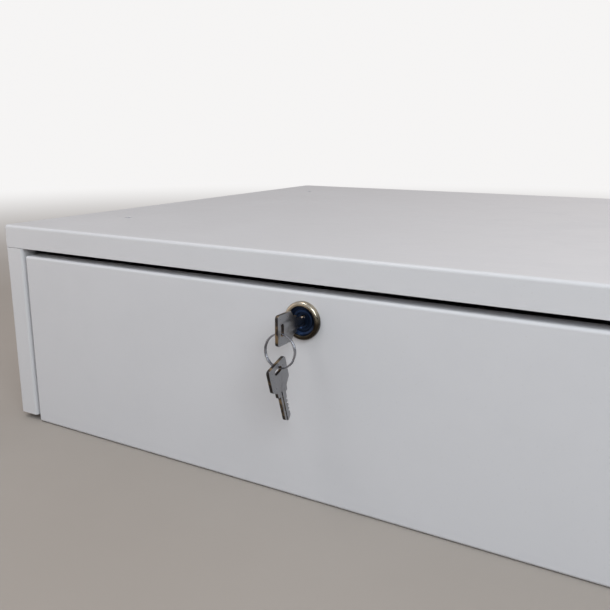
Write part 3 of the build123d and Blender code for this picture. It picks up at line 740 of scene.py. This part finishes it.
def all_screws():
    """Every screw, where its CAD solid is."""
    heads = []
    for low, high in solids_of("front_screws"):
        seat = Vector(((low.x + high.x) / 2, high.y - FRONT_HEAD * MM, (low.z + high.z) / 2))
        heads.append(pan_head("front_screw", seat, (0, 1, 0), **FRONT_SCREW))
    finished(joined("front_screw_set", heads), SCREW_ZINC, "drawer", "zinc_steel", "front_screws")
    low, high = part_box("cam_screw")
    seat = Vector((LOCK.x, high.y - CAM_HEAD * MM, LOCK.z))
    head = pan_head("cam_screw_head", seat, (0, 1, 0), **CAM_SCREW)
    finished(head, SCREW_ZINC, "lock_plug", "zinc_steel", "cam_screw")
    for side, sign in SIDES.items():
        heads = []
        for low, high in solids_of(f"tray_screws_{side}"):
            inner = high.x if sign < 0 else low.x
            seat = Vector((inner + sign * TRAY_HEAD * MM, (low.y + high.y) / 2, (low.z + high.z) / 2))
            heads.append(pan_head("tray_screw", seat, (-sign, 0, 0), **TRAY_SCREW))
        piece = joined(f"tray_screw_set_{side}", heads)
        finished(piece, SCREW_ZINC, "drawer", "zinc_steel", f"tray_screws_{side}")
        heads = []
        for low, high in solids_of(f"runner_screws_{side}"):
            seat = Vector((low.x if sign > 0 else high.x, (low.y + high.y) / 2, (low.z + high.z) / 2))
            heads.append(flat_head("runner_screw", seat, (-sign, 0, 0), RUNNER_SHANK))
        piece = joined(f"runner_screw_set_{side}", heads)
        finished(piece, SCREW_ZINC, "casing", "zinc_steel", f"runner_screws_{side}")


# ---- keys --------------------------------------------------------------------------------------------
# In mm, and the tilt in degrees
KEY_BOW, BOW_HALF, KEY_THICKNESS = 16.5, 8.49, 2.0
SLOT_FROM_END, SLOT_HALF, WIRE_INSET = 4.4, 3.5, 1.3
NOTCH_PITCH, NOTCH_DEPTHS = 2.6, (0.9, 1.5, 0.7, 1.2)
SPARE_TILT = 18.0


def key_piece(name, place_at):
    """Stamped key: bow with a slot, shoulder, notched blade with a milled groove on each face.

    The outline runs along X from the bow's end to the tip; Y is across the bow.
    """
    corners = [(0, -BOW_HALF, 1.8), (13.4, -BOW_HALF, 1.8), (KEY_BOW, -4.6, 1.2), (19.8, -4.6, 0.5)]
    corners += [(19.8, -2.8, 0.4), (35.55, -2.79, 0.8), (37.95, 0, 0.6), (35.55, 2.79, 0.8)]
    for k, depth in reversed(list(enumerate(NOTCH_DEPTHS))):
        x = KEY_BOW + 8.0 + k * NOTCH_PITCH
        bottom = 2.8 - depth
        corners += [(x + 1.0, 2.8, 0.15), (x + 0.25, bottom, 0.1)]
        corners += [(x - 0.25, bottom, 0.1), (x - 1.0, 2.8, 0.15)]
    corners += [(19.8, 2.8, 0.4), (19.8, 4.6, 0.5), (KEY_BOW, 4.6, 1.2)]
    corners += [(13.4, BOW_HALF, 1.8), (0, BOW_HALF, 1.8)]
    slot = stadium(SLOT_FROM_END, 0, SLOT_HALF, 1.5)
    piece = plate(name, [rounded(corners), slot], KEY_THICKNESS, 0.22, Matrix.Identity(4))
    cutters = []
    for face in (-1, 1):
        low, high = sorted((face * 0.55, face * 1.4))
        cutters.append(block("groove", (17.5, -1.35, low), (36.6, -0.45, high)))
    piece = carved(piece, *cutters)
    piece.data.transform(place_at @ ACROSS_X)
    return piece


def keys():
    """The key in the lock and the spare one on the ring."""
    end = Vector((0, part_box("key")[0].y, LOCK.z))
    finished(key_piece("lock_key", Matrix.Translation(end)), KEY_STEEL, "key", "nickel", "key")
    corner = Vector((0, -SLOT_FROM_END, WIRE_INSET - SLOT_HALF)) * MM
    lean = Matrix.Rotation(math.radians(SPARE_TILT - 90), 4, "X")
    hang = Matrix.Translation(RING_BOTTOM) @ lean @ Matrix.Translation(corner)
    finished(key_piece("hanging_key", hang), KEY_STEEL, "spare_key", "nickel", "spare_key")


WIRE_OFFSET = 0.43  # mm
RING_START, RING_GAP = math.radians(115), 0.06
STEP_LEAD, STEP_LENGTH = 0.45, 0.7  # radians before and along the ring


def split_ring():
    """Two turns of flattened wire side by side, which change sides over a short stretch.

    At every angle the wire keeps the ring's radius; its offset along the ring's axis goes from one side to the
    other by a smooth step.
    """
    centre, drop = (RING_TOP + RING_BOTTOM) / 2, RING_TOP - RING_BOTTOM
    radius, upward = drop.length / 2 / MM, drop.normalized()
    normal = Vector((1, 0, 0)).cross(upward)
    t = np.linspace(RING_START, RING_START + 4 * math.pi - RING_GAP, 260)
    step = np.clip((t - RING_START - 2 * math.pi + STEP_LEAD) / STEP_LENGTH, 0, 1)
    offset = -WIRE_OFFSET + 2 * WIRE_OFFSET * step * step * (3 - 2 * step)
    path = np.outer(np.sin(t), (1, 0, 0)) + np.outer(np.cos(t), upward)
    path = np.array(centre) / MM + radius * path + np.outer(offset, normal)
    wire = rounded(rectangle(-0.40, 0.40, -0.45, 0.45, 0.22), 4)
    finished(swept("split_ring", path, wire, normal), RING_STEEL, "key_ring", "nickel", "key_ring")


# ---- runners -----------------------------------------------------------------------------------------
# In mm; the centres of the ball rows are given like a member's section points
STRIP = 1.15
BALL_TRACK, OUTER_BALL, INNER_BALL = 2.2, (5.9, 14.7), (7.9, 10.3)


def rolled(centreline, thickness):
    """Closed section of rolled strip: its centreline moved half a thickness to each side."""
    line = np.asarray(centreline, float)
    way = np.gradient(line, axis=0)
    way /= np.linalg.norm(way, axis=1, keepdims=True)
    normal = np.stack([-way[:, 1], way[:, 0]], -1) * thickness / 2
    return np.concatenate([line + normal, (line - normal)[::-1]])


def member(name, side, half_line, node, slots, body):
    """Runner member: a section carried along Y, with slots (start, length, half height) in its web.

    `half_line` runs from the web's middle to the upper edge and is mirrored down. Its points are (distance from
    the back of the fixed member, height above the runner's middle). All of it is in mm.
    """
    sign = SIDES[side]
    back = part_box(f"runner_outer_{side}")
    back_x = (back[1].x if sign > 0 else back[0].x) / MM
    middle = (back[0].z + back[1].z) / 2 / MM
    low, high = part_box(node)
    half = np.asarray(half_line, float)
    line = np.concatenate([half[::-1] * (1, -1), half])
    section = rolled(line, STRIP) * (-sign, 1) + (back_x, middle)
    y0, y1 = low.y / MM, high.y / MM
    piece = swept(name, [(0, y0, 0), (0, (y0 + y1) / 2, 0), (0, y1, 0)], section * (1, -1), (1, 0, 0))
    web = back_x - sign * half[0, 0]
    cutters = []
    for start, length, half_height in slots:
        corner = half_height * 0.98
        outline = rounded(rectangle(0, length, -half_height, half_height, corner), 6)
        at = Vector((web, y0 + start, middle)) * MM
        cutters.append(plate("slot", [outline], 4.0, 0.01, Matrix.Translation(at) @ ACROSS_X))
    finished(carved(piece, *cutters), ZINC, body, "zinc_steel", node)


def runners():
    """Three rolled members a side; each flange is rolled round its row of balls."""
    outer = [(0.6, 0.0), (0.6, 8.0), (0.6, 14.4)] + arc((2.0, 14.4), 1.4, 180, 90, 5)
    outer += [(3.0, 15.8)] + arc(OUTER_BALL, BALL_TRACK, 150, 30, 11)[1:] + [(8.6, 15.7), (9.4, 15.65)]
    middle = [(3.2, 0.0), (3.2, 6.0), (3.2, 12.0)] + arc((4.3, 12.1), 1.1, 180, 110, 4)
    middle += arc(OUTER_BALL, BALL_TRACK, 228, 275, 5) + arc(INNER_BALL, BALL_TRACK, 92, 22, 7)
    middle += [(10.4, 10.9), (11.0, 10.85)]
    inner = [(12.1, 0.0), (12.1, 5.0), (12.1, 7.9)] + arc((11.0, 7.9), 1.1, 0, 80, 4)
    inner += arc(INNER_BALL, BALL_TRACK, -30, -150, 9) + [(5.7, 9.15)]
    for side in SIDES:
        member(f"fixed_member_{side}", side, outer, f"runner_outer_{side}",
               [(60, 26, 2.6), (150, 8, 3.9), (250, 26, 2.6), (320, 8, 3.9)], "casing")
        member(f"sliding_member_{side}", side, middle, f"runner_middle_{side}",
               [(30, 40, 3.4), (110, 60, 3.4), (210, 60, 3.4), (310, 40, 3.4)], f"runner_middle_{side}")
        member(f"drawer_member_{side}", side, inner, f"runner_inner_{side}",
               [(62, 9, 2.3), (140, 22, 2.3), (250, 9, 2.3), (300, 22, 2.3)], "drawer")


# In mm; the first rib's distance is from the pivot
PIVOT_RADIUS = 2.05
RIB_COUNT, RIB_PITCH, RIB_WIDTH, RIB_DEPTH, FIRST_RIB = 5, 2.3, 0.9, 0.35, 63.6


def lever(side):
    """Release lever with a ribbed thumb pad, on a riveted pivot."""
    sign, node = SIDES[side], f"release_lever_{side}"
    pivot = Vector(JOINTS[f"lever_{side}"]["pos_m"])
    low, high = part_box(node)
    at = Matrix.Translation(((low.x + high.x) / 2, pivot.y, pivot.z)) @ ACROSS_X
    lower = [(-66, -3.6, 1.6), (-52, -3.6, 1.5), (-48, -1.8, 3), (-7, -1.8, 1)]
    eye = [(x, y, 0) for x, y in arc((0, 0), 4.6, -155, 155, 25)]
    outline = rounded(lower + eye + [(x, -y, r) for x, y, r in reversed(lower)], 6)
    hole = stadium(0, 0, PIVOT_RADIUS + 0.01, PIVOT_RADIUS)
    piece = plate(f"lever_{side}", [outline, hole], 2.8, 0.35, at)
    ribs = []
    for k in range(RIB_COUNT):
        y, z = pivot.y / MM - FIRST_RIB + k * RIB_PITCH, pivot.z / MM
        for x in (low.x / MM - RIB_DEPTH, high.x / MM - RIB_DEPTH):
            ribs.append(block("rib", (x, y, z - 5), (x + 2 * RIB_DEPTH, y + RIB_WIDTH, z + 5)))
    finished(carved(piece, *ribs), LEVER_PLASTIC, node, "lever_plastic", node)
    web = Vector((low.x - 0.4 * MM if sign > 0 else high.x + 0.4 * MM, pivot.y, pivot.z))
    profile = [(0, -0.3), (2.0, -0.3), (2.0, 3.3), (3.0, 3.35), (3.0, 3.7)] + arc((0, 0.1), 4.6, 48, 90, 7)
    rivet = turned(f"lever_rivet_{side}", profile, 40, web, (sign, 0, 0))
    finished(crisp(rivet), SCREW_ZINC, "drawer", "zinc_steel")


def end_stop(side):
    """Ribbed rubber end stop."""
    node = f"runner_buffer_{side}"
    low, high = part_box(node)
    depth, half = (high.y - low.y) / MM, (high.z - low.z) / 2 / MM
    steps = rectangle(0, depth, -half, half, 0.8)
    for z in np.arange(half - 4, -half + 3, -4.0):
        steps += [(0, z + 0.9, 0.3), (1.6, z + 0.5, 0.3), (1.6, z - 0.5, 0.3), (0, z - 0.9, 0.3)]
    at = Matrix.Translation(((low.x + high.x) / 2, low.y, (low.z + high.z) / 2)) @ ACROSS_X
    stop = plate(f"end_stop_{side}", [rounded(steps, 4)], (high.x - low.x) / MM, 0.5, at)
    finished(stop, RUBBER, "casing", "rubber", node)


lock_barrel()
plug()
nut()
cam()
all_screws()
keys()
split_ring()
runners()
for runner_side in SIDES:
    lever(runner_side)
    end_stop(runner_side)


# ---- stage -------------------------------------------------------------------------------------------
GLOW_BACK, GLOW_FRONT, GLOW_STRENGTH = (1.0, 0.93, 0.91), (0.90, 0.95, 1.04), 0.72
SEEN_COLOUR, SEEN_STRENGTH = (1.0, 0.99, 0.985), 0.92
DARK_SIDE, DIM_BACK = (0.86, -0.48, -0.16), (-0.80, 0.58, 0.12)
FLOOR_FADE = (0.55, 2.4)
FLOOR_HALF, FLOOR_GAP = 14.0, 0.0004
FLOOR_DARK, FLOOR_LIGHT = (0.35, 0.315, 0.28), (0.38, 0.345, 0.31)
EYE = (0.1920, FRONT - 0.3286, CASE_TOP + 0.0654)
LOOK_DOWN, LOOK_LEFT = 13.56, 30.4  # degrees


def floor():
    """Plain pale floor just under the drawer front that turns into the background's glow with distance."""
    size, z = FLOOR_HALF, LOWEST - FLOOR_GAP
    points = [(-size, -size, z), (size, -size, z), (size, size, z), (-size, size, z)]
    piece = mesh_piece("floor", points, [[0, 1, 2, 3]], smooth=False)
    material, tree, shader, where = new_material("pale floor")
    tone = mixed(tree, remap(tree, noise(tree, where, 3.0, 4.0), 0.3, 0.7), FLOOR_DARK, FLOOR_LIGHT)
    length = place(tree, "ShaderNodeVectorMath", {0: where}, operation="LENGTH").outputs["Value"]
    far = remap(tree, length, *FLOOR_FADE)
    tree.links.new(mixed(tree, far, tone, (0.0, 0.0, 0.0)), shader.inputs["Base Color"])
    shader.inputs["Emission Color"].default_value = (*SEEN_COLOUR, 1)
    tree.links.new(math_node(tree, "MULTIPLY", far, SEEN_STRENGTH), shader.inputs["Emission Strength"])
    shader.inputs["Specular IOR Level"].default_value = 0.0
    shader.inputs["Roughness"].default_value = 0.75
    piece.data.materials.append(material)


def world_glow():
    """Background: a glow that is warm behind and cool in front, with dim regions front right and behind left.

    The camera sees a plain near-white instead.
    """
    world = bpy.data.worlds.new("studio")
    world.use_nodes = True
    tree = world.node_tree
    way = tree.nodes.new("ShaderNodeTexCoord").outputs["Generated"]

    def along(axis):
        inputs = {0: way, 1: axis}
        return place(tree, "ShaderNodeVectorMath", inputs, operation="DOT_PRODUCT").outputs["Value"]

    colour = mixed(tree, remap(tree, along((0, 1, 0)), -0.4, 0.2), GLOW_FRONT, GLOW_BACK)
    level = math_node(tree, "MULTIPLY", remap(tree, along(DARK_SIDE), 0.25, 0.85, 1.0, 0.12), GLOW_STRENGTH)
    level = math_node(tree, "MULTIPLY", remap(tree, along(DIM_BACK), 0.62, 0.98, 1.0, 0.30), level)
    seen = tree.nodes.new("ShaderNodeLightPath").outputs["Is Camera Ray"]
    tree.links.new(mixed(tree, seen, colour, SEEN_COLOUR), tree.nodes["Background"].inputs["Color"])
    level = math_node(tree, "MAXIMUM", level, math_node(tree, "MULTIPLY", seen, SEEN_STRENGTH))
    tree.links.new(level, tree.nodes["Background"].inputs["Strength"])
    bpy.context.scene.world = world


def soft_light(name, place_at, target, size, power, colour):
    """Square area light that looks at a target."""
    data = bpy.data.lights.new(name, "AREA")
    data.size, data.energy, data.color = size, power, colour
    lamp = bpy.data.objects.new(name, data)
    lamp.location = place_at
    lamp.rotation_euler = (Vector(target) - Vector(place_at)).to_track_quat("-Z", "Y").to_euler()
    bpy.context.scene.collection.objects.link(lamp)


def studio():
    """Background glow and soft lights."""
    world_glow()
    centre = (0, FRONT / 2, -0.05)
    soft_light("key light", (1.1, -1.3, 1.0), centre, 1.1, 23, (0.86, 0.93, 1.0))
    soft_light("top light", (-0.5, -0.8, 1.4), centre, 0.5, 5, (1.0, 0.98, 0.96))
    soft_light("back light", (1.1, 1.3, 0.9), centre, 1.2, 2, (1.0, 0.93, 0.90))
    soft_light("fill light", (-0.75, -0.65, 0.12), (-0.2, FRONT, -0.08), 0.45, 0.3, (1.0, 0.62, 0.36))
    bpy.context.scene.view_settings.view_transform = "Standard"


def camera():
    """Camera to the right of the front and a little above it, looking left and down."""
    data = bpy.data.cameras.new("camera")
    data.lens = 41.95
    data.sensor_width = 36.0
    data.shift_x, data.shift_y = 0.0049, -0.0057
    data.clip_start = 0.01
    eye = bpy.data.objects.new("camera", data)
    eye.location = EYE
    eye.rotation_euler = (math.radians(90 - LOOK_DOWN), 0, math.radians(LOOK_LEFT))
    bpy.context.scene.collection.objects.link(eye)
    bpy.context.scene.camera = eye


floor()
studio()
camera()
